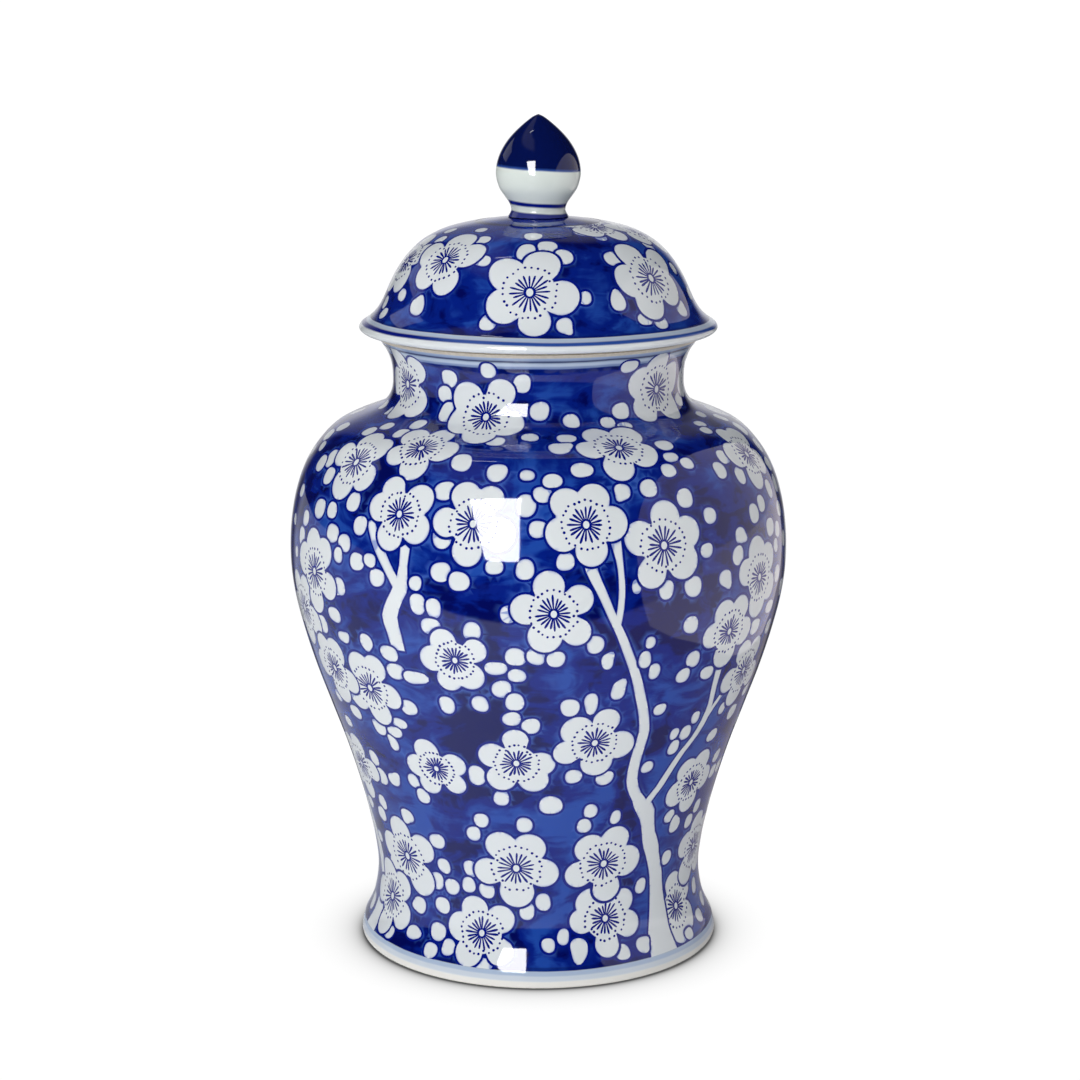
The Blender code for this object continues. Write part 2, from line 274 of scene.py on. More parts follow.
def smoothed(points, spacing, bend=None):
    """A smooth curve through the points, with an even spacing that tightens where the curve bends."""
    points = np.array(points, float)
    if len(points) < 3:
        return points
    along = np.concatenate([[0.0], np.cumsum(np.linalg.norm(np.diff(points, axis=0), axis=1))])
    slopes = np.gradient(points, along, axis=0)
    at = np.linspace(0.0, along[-1], 30 * len(points))
    span = np.clip(np.searchsorted(along, at, side="right") - 1, 0, len(points) - 2)
    width = (along[span + 1] - along[span])[:, None]
    t = (at - along[span])[:, None] / width
    curve = (2 * t**3 - 3 * t**2 + 1) * points[span] + (3 * t**2 - 2 * t**3) * points[span + 1]
    curve += width * ((t**3 - 2 * t**2 + t) * slopes[span] + (t**3 - t**2) * slopes[span + 1])
    steps = np.diff(curve, axis=0)
    cost = np.linalg.norm(steps, axis=1) / spacing
    if bend:
        cost[1:] += turns_of(curve) / bend
    cost = np.concatenate([[0.0], np.cumsum(cost)])
    marks = np.linspace(0.0, cost[-1], max(2, math.ceil(cost[-1])) + 1)
    return np.column_stack([np.interp(marks, cost, column) for column in curve.T])


def outline_of(cad):
    """The (radius, height) points of a turned CAD node's outline, end to end, and whether it is a ring that
    never meets the axis."""
    mesh = cad.data
    keys = {}
    for vertex in mesh.vertices:
        if abs(vertex.co.y) < ON_AXIS and vertex.co.x > -ON_AXIS:
            keys[vertex.index] = (round(abs(vertex.co.x), 6), round(vertex.co.z, 6))
    beside = {key: set() for key in keys.values()}
    for edge in mesh.edges:
        a, b = (keys.get(index) for index in edge.vertices)
        if a and b and a != b:
            beside[a].add(b)
            beside[b].add(a)
    ends = sorted(key for key, near in beside.items() if len(near) == 1)
    outline = [max(ends, key=lambda key: key[1]) if ends else max(beside)]
    while True:
        ahead = sorted(beside[outline[-1]] - set(outline), key=lambda key: -key[1])
        if not ahead:
            return outline, not ends
        outline.append(ahead[0])


def turns_of(points):
    """How much a line of points turns at each of its inner points."""
    heading = unit(np.diff(points, axis=0))
    return np.arccos(np.clip((heading[1:] * heading[:-1]).sum(1), -1.0, 1.0))


def runs_of(outline):
    """The outline cut into smooth runs, at its corners and where a bend meets a long straight."""
    points = np.array(outline)
    lengths = np.linalg.norm(np.diff(points, axis=0), axis=1)
    ratio = lengths[1:] / lengths[:-1]
    cut = (turns_of(points) > CORNER) | (ratio > LONG_STRAIGHT) | (ratio < 1 / LONG_STRAIGHT)
    cuts = [0, *(np.nonzero(cut)[0] + 1), len(points) - 1]
    return [points[a : b + 1] for a, b in zip(cuts, cuts[1:])]


def about_axis(azimuth, out, up):
    """The points at azimuths round the Z axis, some way out from it and up."""
    turn = np.radians(azimuth)
    return np.column_stack([out * np.sin(turn), -out * np.cos(turn), up])


class Side:
    """The outer side of a turned piece, unrolled: an azimuth and a height up it give a place on it."""

    def __init__(self, points):
        rising = points if points[0][1] < points[-1][1] else points[::-1]
        self.radius, self.height = rising.T
        steps = np.linalg.norm(np.diff(rising, axis=0), axis=1)
        self.up = np.concatenate([[0.0], np.cumsum(steps)]) / MM
        tangent = unit(np.gradient(rising, self.up, axis=0))
        self.out, self.lean = tangent[:, 1], -tangent[:, 0]

    def radius_at(self, up):
        """The radius in millimetres."""
        return np.interp(up, self.up, self.radius) / MM

    def height_at(self, up):
        return float(np.interp(up, self.up, self.height))

    def normals(self, azimuth, up):
        return unit(about_axis(azimuth, np.interp(up, self.up, self.out), np.interp(up, self.up, self.lean)))

    def places(self, azimuth, up, lift):
        """The points there, lifted square off the side."""
        on_side = about_axis(azimuth, self.radius_at(up) * MM, np.interp(up, self.up, self.height))
        return on_side + lift * self.normals(azimuth, up)

    def lay(self, azimuth, up, shape):
        """A shape in millimetres about a place on the side, as azimuths and heights up the side."""
        ups = up + shape[:, 1]
        return np.column_stack([azimuth + np.degrees(shape[:, 0] / self.radius_at(ups)), ups])


# ---- shapes that are painted, in millimetres about their own middle ----


def clockwise(angle, reach):
    """The point in a direction given clockwise from up."""
    return np.column_stack([reach * np.sin(np.radians(angle)), reach * np.cos(np.radians(angle))])


def disc(width, height, count, middle=(0.0, 0.0)):
    angles = np.linspace(360.0, 0.0, count, endpoint=False)
    return clockwise(angles, 1.0) * (width / 2, height / 2) + np.array(middle)


def petals_outline(petals, grown):
    """The outline of a blossom, as its centre sees it: the far edge of overlapping round petals, which are
    (middle, radius) pairs."""
    ways = clockwise(np.linspace(360.0, 0.0, PETAL_POINTS, endpoint=False), 1.0)
    reach = np.full(len(ways), 1.0)
    for middle, radius in petals:
        ahead = ways @ middle
        square = (radius + grown) ** 2 - (middle @ middle - ahead**2)
        reach = np.maximum(reach, np.where(square > 0, ahead + np.sqrt(np.maximum(square, 0.0)), 0.0))
    return ways * reach[:, None]


def bud_outline(width, height, tip, grown, wobble):
    """A rounded bud, brushed unevenly, and drawn out to a tip where it has one."""
    angles = np.linspace(360.0, 0.0, 26, endpoint=False)
    ways = clockwise(angles, 1.0)
    share = np.abs(ways / (width / 2, height / 2)) ** BUD_SQUARENESS
    reach = share.sum(1) ** (-1 / BUD_SQUARENESS)
    twofold = np.sin(np.radians(2 * angles + wobble))
    threefold = np.sin(np.radians(3 * angles + 2 * wobble))
    reach *= 1 + 0.04 * twofold + 0.03 * threefold
    if tip is not None:
        away = np.abs((angles - tip + 180.0) % 360.0 - 180.0)
        reach *= 1 + 0.42 * np.exp(-((away / 26.0) ** 2))
    return ways * (reach + grown)[:, None]


def brush_stroke(inner, outer, half_width):
    """A stroke that points up, thin where it starts and round where it ends."""
    right = [(0.28, inner), (half_width, outer - 1.3), (0.7 * half_width, outer - 0.3)]
    left = [(-x, y) for x, y in right]
    return np.array([*left, (0.0, outer), *right[::-1]])


def turned_to(shape, way):
    """A shape turned clockwise, so that its up points the given way."""
    cos, sin = math.cos(math.radians(way)), math.sin(math.radians(way))
    return shape @ np.array([(cos, -sin), (sin, cos)])


class Painting:
    """The shapes painted on one side, each over those before it."""

    def __init__(self, side, seed):
        self.side = side
        self.shapes = []
        self.chance = random.Random(seed)

    def add(self, paint, azimuth, up, shape):
        self.shapes.append((paint, self.side.lay(azimuth, up, shape)))

    def tree(self, limbs):
        """Limbs outlined together, so that no line crosses a fork. A hair-thin spine gives each limb the
        points that keep the cobalt bled in from its two edges apart."""
        smooth = [smoothed(limb, LIMB_SPACING) for limb in limbs]
        for paint, grown in (("line", LINE_WIDTH), ("white", 0.0)):
            for azimuth, up, width in (limb.T for limb in smooth):
                half = width / 2 + np.degrees(grown / self.side.radius_at(up))
                ends = np.array([up[0] - grown, *up[1:-1], up[-1] + grown])
                right = np.column_stack([azimuth + half, ends])
                left = np.column_stack([azimuth - half, ends])
                tip = [(azimuth[-1], ends[-1] + width[-1] * 0.6)]
                self.shapes.append((paint, np.concatenate([right, tip, left[::-1]])))
        for azimuth, up, _ in (limb.T for limb in smooth):
            spine = np.column_stack([azimuth, up])
            self.shapes.append(("white", np.concatenate([spine + SPINE, spine[::-1] - SPINE])))

    def bud(self, azimuth, up, width, height, tip=None):
        across = math.radians(width) * float(self.side.radius_at(up))
        wobble = self.chance.uniform(0.0, 360.0)
        self.add("line", azimuth, up, bud_outline(across, height, tip, LINE_WIDTH, wobble))
        self.add("white", azimuth, up, bud_outline(across, height, tip, 0.0, wobble))

    def blossom(self, azimuth, up, reach, ways):
        """Outlined white petals, with stamens and anthers round a white eye."""
        chance = self.chance
        petals = []
        for way in ways:
            radius = reach * chance.uniform(0.34, 0.43)
            tip = reach * chance.uniform(0.99, 1.07)
            petals.append((clockwise(way, tip - radius)[0], radius))
        petals.append((np.zeros(2), 0.55 * reach))
        line = LINE_WIDTH * chance.uniform(0.9, 1.15)
        white = petals_outline(petals, 0.0)
        self.add("line", azimuth, up, petals_outline(petals, line))
        self.add("white", azimuth, up, white)
        self.add("stroke", azimuth, up, disc(0.27 * reach, 0.27 * reach, 20))
        turn = chance.uniform(0.0, 360.0 / STAMENS)
        for index in range(STAMENS):
            way = turn + 360.0 / STAMENS * index + chance.uniform(-3.0, 3.0)
            outer = reach * chance.uniform(0.37, 0.48)
            stamen = brush_stroke(0.1 * reach, outer, chance.uniform(0.42, 0.56))
            self.add("stroke", azimuth, up, turned_to(stamen, way))
        edge = np.linalg.norm(white, axis=1)
        for index in range(ANTHERS):
            way = turn + 360.0 / ANTHERS * index + chance.uniform(-2.0, 2.0)
            across = chance.uniform(0.95, 1.3)
            out = reach * chance.uniform(0.55, 0.60)
            ahead = round((360.0 - way) / 360.0 * PETAL_POINTS) % PETAL_POINTS
            anther = disc(across, across, 8, (0.0, min(out, edge[ahead] - 1.3)))
            self.add("stroke", azimuth, up, turned_to(anther, way))
        self.add("white", azimuth, up, disc(0.15 * reach, 0.18 * reach, 14))


# ---- meshes ----


def covered(points, outline):
    """Which points are inside the outline."""
    x, y = points.T
    inside = np.zeros(len(points), bool)
    for (ax, ay), (bx, by) in zip(outline, np.roll(outline, -1, axis=0)):
        if ay == by:
            continue
        crosses = (ay > y) != (by > y)
        inside ^= crosses & (x < (bx - ax) * (y - ay) / (by - ay) + ax)
    return inside


def triangles_along(outlines, low, high):
    """A rectangle cut into triangles along every outline and the points of a grid, from the lowest up."""
    across, along = (np.linspace(a, b, round((b - a) / INLAY_GRID) + 1) for a, b in zip(low, high))
    border = [(x, low[1]) for x in across] + [(high[0], y) for y in along[1:]]
    border += [(x, high[1]) for x in across[-2::-1]] + [(low[0], y) for y in along[-2:0:-1]]
    points, edges = [], []
    for ring in [np.array(border)] + outlines:
        first = len(points)
        points.extend(map(tuple, ring))
        edges.extend((first + i, first + (i + 1) % len(ring)) for i in range(len(ring)))
    for row, y in enumerate(along[1:-1]):
        shift = (across[1] - across[0]) / 2 * (row % 2)
        points.extend((x + shift, y) for x in across[1:-1])
    made = delaunay_2d_cdt([Vector(p) for p in points], edges, [], 0, 1e-5, False)
    corners = np.array([tuple(p) for p in made[0]])
    faces = np.array([face for face in made[2] if len(face) == 3])
    middles = corners[faces].mean(1)
    faces = faces[(middles > low).all(1) & (middles < high).all(1)]
    return corners, faces[np.argsort(corners[faces].mean(1)[:, 1])]


def cut_up(shapes, left, right, bottom, top):
    """The strip of a side between two azimuths cut into triangles along every shape. It returns the points
    of the triangles, the triangles, and the paint of the topmost shape over each, "" where there is none."""
    scale = np.array([math.radians(1.0) * PAINT_RADIUS, 1.0])
    low, high = np.array([left, bottom]) * scale, np.array([right, top]) * scale
    kept = []
    for paint, outline in shapes:
        flat = outline * scale
        if (flat.max(0) > low).all() and (flat.min(0) < high).all():
            kept.append((paint, flat))
    corners, faces = triangles_along([flat for _, flat in kept], low, high)
    middles = corners[faces].mean(1)
    paints = np.full(len(faces), "", dtype="<U8")
    for paint, flat in kept:
        (left_end, bottom_end), (right_end, top_end) = flat.min(0), flat.max(0)
        near = np.arange(*np.searchsorted(middles[:, 1], [bottom_end, top_end]))
        near = near[(middles[near, 0] > left_end) & (middles[near, 0] < right_end)]
        paints[near[covered(middles[near], flat)]] = paint
    return corners / scale, faces, paints


def placed(name, data):
    """A new object in the scene that shows the data."""
    made = bpy.data.objects.new(name, data)
    bpy.context.scene.collection.objects.link(made)
    return made


def mesh_object(name, points, faces, materials):
    mesh = bpy.data.meshes.new(name)
    mesh.from_pydata(points, [], faces)
    for material in materials:
        mesh.materials.append(material)
    return placed(name, mesh)


def smooth_piece(name, points, faces, materials, body, slot):
    piece = mesh_object(name, points, faces, materials)
    piece.data.shade_smooth()
    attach(piece, body)
    return piece


def inlay(name, side, corners, faces, material, body, slot):
    """The triangles as thin closed pieces let into the side, which catch the light just as the side does."""
    used, faces = np.unique(faces, return_inverse=True)
    faces = faces.reshape(-1, 3)
    azimuth, up = corners[used].T
    top = side.places(azimuth, up, INLAY_TOP)
    bottom = side.places(azimuth, up, -INLAY_DEPTH)
    count = len(used)
    ends = np.concatenate([faces[:, [0, 1]], faces[:, [1, 2]], faces[:, [2, 0]]])
    known = {tuple(end) for end in ends.tolist()}
    walls = [(a, a + count, b + count, b) for a, b in known if (b, a) not in known]
    every = faces.tolist() + (faces[:, ::-1] + count).tolist() + sorted(walls)
    piece = smooth_piece(name, np.concatenate([top, bottom]).tolist(), every, [material], body, slot)
    normals = side.normals(azimuth, up)
    piece.data.normals_split_custom_set_from_vertices(np.concatenate([normals, normals]).tolist())
    return piece, used


def fine_rows(cad, material_at):
    """The CAD node's outline as fine, smooth rows of (radius, height), with a material for each step."""
    outline, ring = outline_of(cad)
    if ring:
        outline = outline + [outline[0]]
    rows, picked = [], []
    for run in runs_of(outline):
        fine = smoothed(run, ROW_SPACING, ROW_BEND)
        rows.extend(map(tuple, fine[:-1]))
        picked += [material_at(*((a + b) / 2)) for a, b in zip(fine, fine[1:])]
    if not ring:
        rows.append(tuple(outline[-1]))
    return rows, picked


def revolved(rows, steps):
    """The rows turned about the Z axis. It returns the points, the ring of points that each row makes, and
    the faces of each step from one ring to the next."""
    turns = [math.tau * step / SEGMENTS for step in range(SEGMENTS)]
    points, rings, faces = [], [], []
    for radius, height in rows:
        around = [(radius * math.cos(turn), radius * math.sin(turn), height) for turn in turns]
        if radius < ON_AXIS:
            around = [(0.0, 0.0, height)]
        rings.append([len(points) + step % len(around) for step in range(SEGMENTS)])
        points += around
    for step in range(steps):
        here, there = rings[step], rings[(step + 1) % len(rings)]
        corners = zip(here, here[1:] + here[:1], there[1:] + there[:1], there)
        faces += [tuple(dict.fromkeys(face)) for face in corners]
    return points, rings, faces


def sharpen(mesh, rows, rings):
    """Marks the rings where the outline turns a corner as sharp edges."""
    turns = turns_of(np.array([rows[-1], *rows, rows[0]]))
    sharp = set(np.nonzero(turns > SHARP)[0].tolist())
    row_of = {point: row for row, ring in enumerate(rings) for point in ring}
    for edge in mesh.edges:
        a, b = (row_of[point] for point in edge.vertices)
        edge.use_edge_sharp = a == b and a in sharp


def turned_piece(cad, body, slot, materials, material_at=lambda radius, height: 0):
    """The CAD node turned again, finely and smoothly, with a material for each step of its outline."""
    rows, picked = fine_rows(cad, material_at)
    points, rings, faces = revolved(rows, len(picked))
    piece = smooth_piece(cad.name + "_glazed", points, faces, materials, body, slot)
    piece.data.polygons.foreach_set("material_index", np.repeat(picked, SEGMENTS).tolist())
    sharpen(piece.data, rows, rings)
    volume = sum(face.center.dot(face.normal) * face.area for face in piece.data.polygons)
    if volume < 0:
        piece.data.flip_normals()
    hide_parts(cad.name)


# ---- materials ----


def plug(tree, made, inputs):
    """Links each input to an output, or sets it to a value."""
    for name, value in inputs.items():
        if isinstance(value, bpy.types.NodeSocket):
            tree.links.new(value, made.inputs[name])
        else:
            made.inputs[name].default_value = value


def node(tree, kind, inputs=None, **settings):
    """Adds a node and returns its first output."""
    made = tree.nodes.new(kind)
    for name, value in settings.items():
        setattr(made, name, value)
    plug(tree, made, inputs or {})
    return made.outputs[0]


def maths(tree, operation, first, second=0.0):
    return node(tree, "ShaderNodeMath", {0: first, 1: second}, operation=operation)


def times(tree, first, second):
    return maths(tree, "MULTIPLY", first, second)


def parts_of(tree, place):
    """The X, Y and Z outputs of a place."""
    return node(tree, "ShaderNodeSeparateXYZ", {"Vector": place}).node.outputs


def marked(tree, name):
    """The value that an inlay's points carry under a name."""
    return node(tree, "ShaderNodeAttribute", attribute_name=name).node.outputs["Fac"]


def mixed(tree, share, first, second):
    """The first colour where share is 0 and the second where it is 1."""
    output = node(tree, "ShaderNodeMix", {0: share, 6: first, 7: second}, data_type="RGBA")
    return output.node.outputs[2]


def rising(tree, value, start, end):
    """0 below start, 1 above end, and a smooth slope between."""
    inputs = {"Value": value, "From Min": start, "From Max": end}
    return node(tree, "ShaderNodeMapRange", inputs, interpolation_type="SMOOTHSTEP")


def band(tree, height, low, high, soft):
    """1 between two heights, with soft edges."""
    above = rising(tree, height, low - soft, low + soft)
    below = maths(tree, "SUBTRACT", 1.0, rising(tree, height, high - soft, high + soft))
    return times(tree, above, below)


def noise(tree, place, scale, detail=3.0, stretch=(1.0, 1.0, 1.0), distortion=0.0):
    moved = node(tree, "ShaderNodeMapping", {"Vector": place, "Scale": stretch})
    inputs = {"Vector": moved, "Scale": scale, "Detail": detail, "Distortion": distortion}
    return node(tree, "ShaderNodeTexNoise", inputs)


def new_material(name):
    """A material, its node tree, and the place on the piece."""
    material = bpy.data.materials.new(name)
    material.use_nodes = True
    tree = material.node_tree
    return material, tree, node(tree, "ShaderNodeTexCoord").node.outputs["Object"]


def glazed(tree, place, colour):
    """A clear glossy glaze over a colour, with the faint unevenness of a dipped glaze."""
    pulled = noise(tree, place, 38.0, 1.0)
    bump = node(tree, "ShaderNodeBump", {"Height": pulled, "Strength": 0.05, "Distance": 0.004})
    inputs = {"Base Color": colour, "Normal": bump, "Roughness": GLAZE_ROUGHNESS, "IOR": GLAZE_IOR}
    plug(tree, tree.nodes["Principled BSDF"], inputs)


GLAZE_ROUGHNESS = 0.045
GLAZE_IOR = 1.52
BISCUIT_ROUGHNESS = 0.62

WHITE = (0.77, 0.81, 0.83, 1.0)
GREENISH_WHITE = (0.81, 0.88, 0.82, 1.0)
WARM_WHITE = (0.86, 0.85, 0.80, 1.0)
PALE_BLUE = (0.42, 0.53, 0.70, 1.0)
LINE_BLUE = (0.0012, 0.0090, 0.220, 1.0)
BRIM_BLUE = (0.030, 0.085, 0.36, 1.0)
NAVY = (0.0012, 0.0060, 0.078, 1.0)
DEEP_COBALT = (0.0002, 0.0026, 0.098, 1.0)
COBALT = (0.0010, 0.0130, 0.220, 1.0)
LIGHT_COBALT = (0.0130, 0.0650, 0.380, 1.0)
HALO_BLUE = (0.0420, 0.1150, 0.470, 1.0)
BLEED_BLUE = (0.150, 0.230, 0.600, 1.0)
BISCUIT = (0.62, 0.57, 0.48, 1.0)
DARK_BISCUIT = (0.54, 0.49, 0.41, 1.0)


def cobalt_wash(tree, place):
    """Cobalt brushed on in overlapping strokes: deep where it pooled and lighter where it was thin."""
    patches = noise(tree, place, 24.0, 4.0, (1.0, 1.0, 0.8), 0.8)
    strokes = noise(tree, place, 70.0, 4.0, (0.7, 0.7, 1.6), 1.2)
    thin = maths(tree, "ADD", times(tree, patches, 0.62), times(tree, strokes, 0.38))
    deep = mixed(tree, rising(tree, thin, 0.445, 0.50), DEEP_COBALT, COBALT)
    wash = mixed(tree, rising(tree, thin, 0.51, 0.61), deep, LIGHT_COBALT)
    halo = maths(tree, "POWER", marked(tree, "halo"), 1.6)
    left = rising(tree, noise(tree, place, 60.0, 2.0), 0.42, 0.62)
    return mixed(tree, times(tree, halo, times(tree, left, 0.8)), wash, HALO_BLUE)


def height_of(tree, place, uneven, scale=40.0):
    """The height on the piece, made uneven as a brushed line is."""
    swing = maths(tree, "SUBTRACT", noise(tree, place, scale, 3.0, (1.0, 1.0, 3.0)), 0.5)
    return maths(tree, "ADD", parts_of(tree, place)["Z"], times(tree, swing, uneven))


def banded(tree, colour, height, bands):
    """Lays bands of colour over a colour: each is (paint, low, high, softness, strength)."""
    for paint, low, high, soft, strength in bands:
        colour = mixed(tree, times(tree, band(tree, height, low, high, soft), strength), colour, paint)
    return colour


def jar_glaze(side):
    """Cobalt on the side, with the bands at the foot and below the rim at heights in millimetres up it."""
    material, tree, place = new_material("jar_glaze")
    wash = cobalt_wash(tree, place)
    height = height_of(tree, place, 0.8 * MM)
    at, foot = side.height_at, side.height[0]
    bands = [
        (DEEP_COBALT, at(4.6), at(6.2), 0.4 * MM, 0.6),
        (WHITE, -0.02, at(4.5), 0.3 * MM, 1.0),
        (WARM_WHITE, -0.02, foot + 0.2 * MM, 0.5 * MM, 1.0),
        (PALE_BLUE, at(0.5), at(2.8), 0.4 * MM, 0.35),
        (PALE_BLUE, at(2.6), at(4.5), 0.4 * MM, 0.95),
        (NAVY, at(283.4), at(285.2), 0.4 * MM, 0.5),
        (PALE_BLUE, at(285.2), 0.3, 0.25 * MM, 0.95),
        (BRIM_BLUE, at(284.9), at(286.2), 0.4 * MM, 0.5),
        (WHITE, at(286.6), at(287.6), 0.5 * MM, 0.3),
        (NAVY, at(288.3), at(289.4), 0.45 * MM, 0.92),
        (BRIM_BLUE, at(289.5), at(290.4), 0.6 * MM, 0.35),
    ]
    glazed(tree, place, banded(tree, wash, height, bands))
    return material


def lid_glaze(side):
    """Cobalt on the dome, with the bands of the brim, which run a little aslant."""
    material, tree, place = new_material("lid_glaze")
    wash = cobalt_wash(tree, place)
    height = height_of(tree, place, 1.6 * MM, 12.0)
    across = parts_of(tree, place)["X"]
    height = maths(tree, "ADD", height, times(tree, across, 0.0075))
    brim_line = mixed(tree, rising(tree, across, -0.030, -0.055), BRIM_BLUE, LINE_BLUE)
    at = side.height_at
    bands = [
        (NAVY, at(13.4), at(14.6), 0.3 * MM, 0.5),
        (WHITE, 0.2, at(13.3), 0.2 * MM, 1.0),
        (PALE_BLUE, at(11.0), at(13.1), 0.3 * MM, 0.8),
        (brim_line, at(8.8), at(10.9), 0.3 * MM, 1.0),
        (NAVY, at(76.8), at(79.6), 0.06 * MM, 0.95),
        (LINE_BLUE, at(86.0), 0.4, 0.05 * MM, 0.9),
    ]
    glazed(tree, place, banded(tree, wash, height, bands))
    return material


def knob_glaze(foot):
    """A greenish white bud dipped in navy, with two lines round its waist. Its foot is at a height."""
    material, tree, place = new_material("knob_glaze")
    height = height_of(tree, place, 1.4 * MM, 30.0)
    height = maths(tree, "ADD", height, times(tree, parts_of(tree, place)["X"], 0.06))
    bands = [
        (BRIM_BLUE, foot + 20.0 * MM, foot + 50 * MM, 0.4 * MM, 1.0),
        (NAVY, foot + 20.8 * MM, foot + 50 * MM, 0.6 * MM, 1.0),
        (LINE_BLUE, foot + 4.6 * MM, foot + 6.4 * MM, 0.45 * MM, 1.0),
        (LINE_BLUE, foot - 5 * MM, foot + 1.9 * MM, 0.45 * MM, 0.95),
    ]
    glazed(tree, place, banded(tree, GREENISH_WHITE, height, bands))
    return material


def painted_line():
    material, tree, place = new_material("painted_line")
    glazed(tree, place, LINE_BLUE)
    return material


def white_glaze():
    """White, with the cobalt of a painted line bled a little way into it."""
    material, tree, place = new_material("white_glaze")
    bleed = times(tree, maths(tree, "POWER", marked(tree, "bleed"), 5.0), 0.75)
    glazed(tree, place, mixed(tree, bleed, WHITE, BLEED_BLUE))
    return material


def bare_porcelain():
    """Fired clay with no glaze: matt, warm and a little speckled."""
    material, tree, place = new_material("bare_porcelain")
    speckle = rising(tree, noise(tree, place, 700.0, 2.0), 0.30, 0.75)
    colour = mixed(tree, speckle, DARK_BISCUIT, BISCUIT)
    bump = node(tree, "ShaderNodeBump", {"Height": speckle, "Strength": 0.15, "Distance": 0.0003})
    inputs = {"Base Color": colour, "Normal": bump, "Roughness": BISCUIT_ROUGHNESS}
    plug(tree, tree.nodes["Principled BSDF"], inputs)
    return material


# ---- the piece, painted ----


def is_clear(side, azimuth, up, others, space):
    """Whether a place is more than a distance from the edge of each of the others, in millimetres."""
    for other_azimuth, other_up, other_reach in others:
        turn = (azimuth - other_azimuth + 180.0) % 360.0 - 180.0
        across = math.radians(turn) * float(side.radius_at((up + other_up) / 2))
        if math.hypot(across, up - other_up) < space + other_reach:
            return False
    return True


def scatter(painting, blossoms, buds, trees, azimuths, heights, gap):
    """Fills the back of a side with blossoms, and then with buds round them, clear of what is there."""
    (left, right), (low, high) = azimuths, heights
    side, chance = painting.side, painting.chance
    flowers = [(azimuth, up, reach) for azimuth, up, reach, _ in blossoms]
    small = [(azimuth, up, BUD_REACH) for azimuth, up, *_ in buds]
    trunks = []
    for limb in sum(trees, []):
        for azimuth, up, width in smoothed(limb, LIMB_SPACING):
            trunks.append((azimuth, up, math.radians(width / 2) * float(side.radius_at(up))))

    def room_for(others, space):
        return is_clear(side, azimuth, up, others, space)

    for _ in range(BLOSSOM_TRIES):
        azimuth = chance.uniform(left, right)
        up = chance.uniform(low + 10, high - 10)
        beside_others = room_for(flowers, gap) and room_for(small, BLOSSOM_REACH)
        if beside_others and room_for(trunks, BLOSSOM_TO_TRUNK):
            flowers.append((azimuth, up, BLOSSOM_REACH))
            turn = chance.uniform(0.0, 72.0)
            ways = [turn + 72.0 * index + chance.uniform(-7.0, 7.0) for index in range(5)]
            painting.blossom(azimuth, up, chance.uniform(15.5, 17.5), ways)
    for _ in range(BUD_TRIES):
        azimuth = chance.uniform(left - 10, right + 10)
        up = chance.uniform(low + 4, high - 4)
        near, far = BUD_TO_BLOSSOM
        beside_flower = room_for(flowers, near) and not room_for(flowers, far)
        if beside_flower and room_for(small, BUD_TO_BUD) and room_for(trunks, BUD_TO_TRUNK):
            small.append((azimuth, up, BUD_REACH))
            across = chance.uniform(6.2, 8.2) / float(side.radius_at(up))
            tip = chance.choice([None, None, chance.uniform(0.0, 360.0)])
            painting.bud(azimuth, up, math.degrees(across), chance.uniform(6.4, 8.2), tip)


def paint_jar(side, paints):
    painting = Painting(side, 7)
    for entry in BEHIND_TREES:
        painting.blossom(*entry)
    for limbs in JAR_TREES:
        painting.tree(limbs)
    for entry in JAR_BUDS:
        painting.bud(*entry)
    scatter(painting, BEHIND_TREES + JAR_BLOSSOMS, JAR_BUDS, JAR_TREES, *JAR_SCATTER)
    for entry in JAR_BLOSSOMS:
        painting.blossom(*entry)
    lay_in(painting, JAR_PAINT, "jar", *paints)


def paint_lid(side, paints):
    painting = Painting(side, 11)
    for entry in LID_BUDS:
        painting.bud(*entry)
    for entry in LID_BLOSSOMS:
        painting.blossom(*entry)
    scatter(painting, LID_BLOSSOMS, LID_BUDS, [], *LID_SCATTER)
    lay_in(painting, LID_PAINT, "lid", *paints)


def lay_in(painting, heights, body, line, white, ground):
    """Lays the painting into the side as one piece for each paint, on the front half and on the back.
    Points that white or ground share with another paint are marked, for the cobalt that bled there."""
    turns = (-360.0, 0.0, 360.0)
    shapes = [(kind, outline + (turn, 0.0)) for kind, outline in painting.shapes for turn in turns]
    halves = {"front": -90.0, "back": 90.0}
    for half, left in halves.items():
        corners, faces, paints = cut_up(shapes, left, left + 180.0, *heights)
        strokes = faces[(paints == "line") | (paints == "stroke")]
        layers = [
            ("line", strokes, line, "painted_line", None),
            ("white", faces[paints == "white"], white, "white_glaze", faces[paints == "line"]),
            ("ground", faces[paints == ""], ground, body + "_glaze", faces[paints != ""]),
        ]
        for layer, shown, material, slot, beside in layers:
            name = f"{body}_{layer}_{half}"
            piece, used = inlay(name, painting.side, corners, shown, material, body, slot)
            if beside is not None:
                mark = piece.data.attributes.new("halo" if layer == "ground" else "bleed", "FLOAT", "POINT")
                mark.data.foreach_set("value", np.tile(np.isin(used, beside), 2).astype(float))


def painted_side(outline, foot, spacing):
    """The outer side, from a height up. It is the run of the outline that sweeps the most surface."""
    swept = [(np.linalg.norm(np.diff(run, axis=0), axis=1) * run[1:, 0]).sum() for run in runs_of(outline)]
    outer = runs_of(outline)[int(np.argmax(swept))]
    return Side(smoothed(outer[outer[:, 1] > foot - 0.05 * MM], spacing, ROW_BEND))


PAINTED, PLAIN, BARE = range(3)  # the places of a turned piece's materials


def is_on_side(side, radius, height):
    return abs(radius - np.interp(height, side.height, side.radius)) < ON_SIDE


